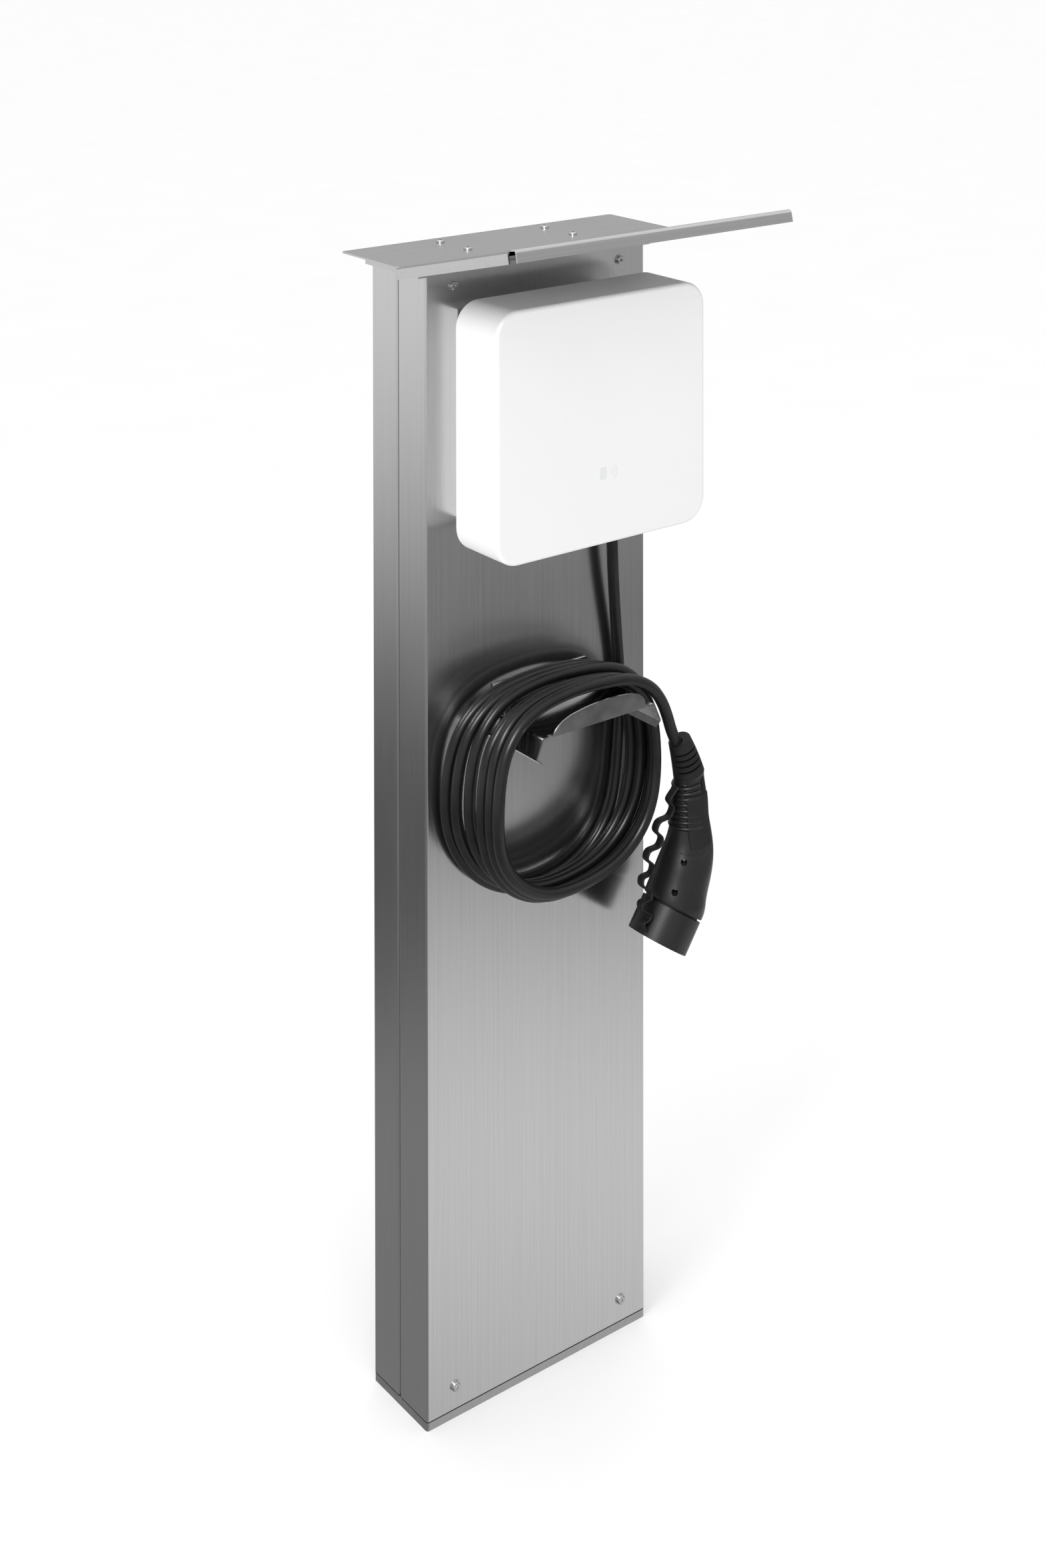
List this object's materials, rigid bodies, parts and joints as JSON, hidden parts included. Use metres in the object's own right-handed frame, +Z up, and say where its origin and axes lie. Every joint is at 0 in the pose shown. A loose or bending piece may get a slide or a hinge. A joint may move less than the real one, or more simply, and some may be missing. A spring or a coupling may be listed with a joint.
{
  "type": "ev charging post",
  "caption": "Free-standing steel charging post with a rain visor, a white charge controller, and a hook that carries a coiled cable with a capped vehicle plug.",
  "frame": {"origin": "centre of the base plate's underside, which is the centre of its anchor bolt pattern", "axes": "+Z up along the column, -Y out of the front where the controller and hook are, +X to the right seen from the front"},
  "size_m": [0.4249, 0.3843, 1.5063],
  "materials": {
    "brushed_sheet": "vertical brushed stainless sheet, folded",
    "steel_frame": "plain steel plate and tube",
    "polished_sheet": "polished stainless sheet",
    "screw_steel": "turned stainless screws and washers",
    "seal_rubber": "matt black sealing rubber",
    "cover_white": "satin white moulded plastic",
    "housing_white": "matt white moulded plastic",
    "device_plastic": "light grey switchgear plastic",
    "black_plastic": "matt black plastic",
    "circuit_board": "green circuit board",
    "light_guide": "clear light guide",
    "contact_brass": "turned contacts",
    "cable_sheath": "black satin cable sheath",
    "plug_black": "black moulded plug body with a fine grain",
    "plug_soft": "black soft grip rubber"
  },
  "bodies": {
    "post": {"base_plate": "steel_frame", "base_gasket": "seal_rubber", "frame_rails": "steel_frame", "cross_bars": "steel_frame", "foot_angles": "steel_frame", "foot_bolts": "screw_steel", "front_cover": "brushed_sheet", "rear_shell": "brushed_sheet", "seam_seals": "seal_rubber", "cover_screw_washers": "screw_steel", "cover_screws": "screw_steel", "top_ledge": "brushed_sheet", "roof_spacers": "steel_frame", "roof_visor": "brushed_sheet", "roof_screws": "screw_steel", "mounting_plate": "steel_frame", "plate_spacers": "screw_steel", "terminal_rail": "steel_frame", "supply_terminals": "device_plastic", "earth_stud": "contact_brass", "cable_hook": "polished_sheet", "hook_screws": "screw_steel", "wallbox_bracket": "steel_frame", "wallbox_housing": "housing_white", "wallbox_screws": "screw_steel", "housing_gasket": "seal_rubber", "cover_studs": "housing_white", "device_rail": "steel_frame", "rcd_body": "device_plastic", "contactor": "device_plastic", "controller_board": "circuit_board", "board_standoffs": "black_plastic", "feed_grommet": "seal_rubber", "gland_body": "black_plastic", "gland_nut": "black_plastic", "cable_drop": "cable_sheath", "cable_lead": "cable_sheath", "cable_coil": "cable_sheath", "plug_shell_front": "plug_black", "plug_shell_rear": "plug_black", "plug_screws": "screw_steel", "plug_grip": "plug_soft", "plug_bend_relief": "plug_soft", "plug_nose": "plug_black", "plug_contacts": "contact_brass", "plug_seal_ring": "seal_rubber", "cable_clamp": "black_plastic", "cap_strap": "cable_sheath"},
    "cover": {"wallbox_cover": "cover_white", "rfid_board": "circuit_board", "status_light_guide": "light_guide"},
    "cap": {"dust_cap": "plug_black"},
    "toggle": {"rcd_toggle": "black_plastic"},
    "test_button": {"rcd_test_button": "black_plastic"}
  },
  "joints": [
    {"name": "cover_pull", "type": "slide", "parent": "post", "child": "cover", "axis": [0, -1, 0], "range_m": [0, 0.05]},
    {"name": "cap_pull", "type": "slide", "parent": "post", "child": "cap", "axis": [-0.5693, 0, -0.8221], "range_m": [0, 0.045], "deforming": ["cap_strap"]},
    {"name": "toggle_tilt", "type": "hinge", "parent": "post", "child": "toggle", "pos_m": [-0.0532, -0.142, 1.31], "axis": [1, 0, 0], "range_deg": [0, 70]},
    {"name": "test_press", "type": "slide", "parent": "post", "child": "test_button", "axis": [0, 1, 0], "range_m": [0, 0.0015], "stiffness_N_per_m": 1500}
  ]
}
